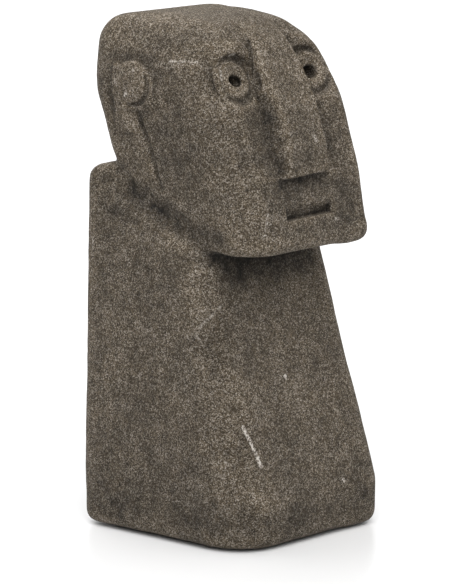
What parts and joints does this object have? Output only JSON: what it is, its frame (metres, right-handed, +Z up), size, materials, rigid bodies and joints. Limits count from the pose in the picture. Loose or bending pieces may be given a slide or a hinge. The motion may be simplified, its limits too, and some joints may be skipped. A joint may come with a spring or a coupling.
{
  "type": "carved stone figure",
  "caption": "Hand-carved stone figure with a block body, an overhanging head with plank nose, drilled eyes, slit mouth and long ears. The four thin felt pads under its base are assumed, not seen.",
  "frame": {"origin": "on the floor, under the middle of the base", "axes": "+Z up, the face looks along -Y, +X is the figure's left side"},
  "size_m": [0.1236, 0.132, 0.2998],
  "materials": {
    "stone": "matte, rubbed, open grain",
    "felt": "pressed felt"
  },
  "bodies": {
    "root": {"stone_figure": "stone", "pad_front_right": "felt", "pad_front_left": "felt", "pad_rear_right": "felt", "pad_rear_left": "felt"}
  },
  "joints": []
}
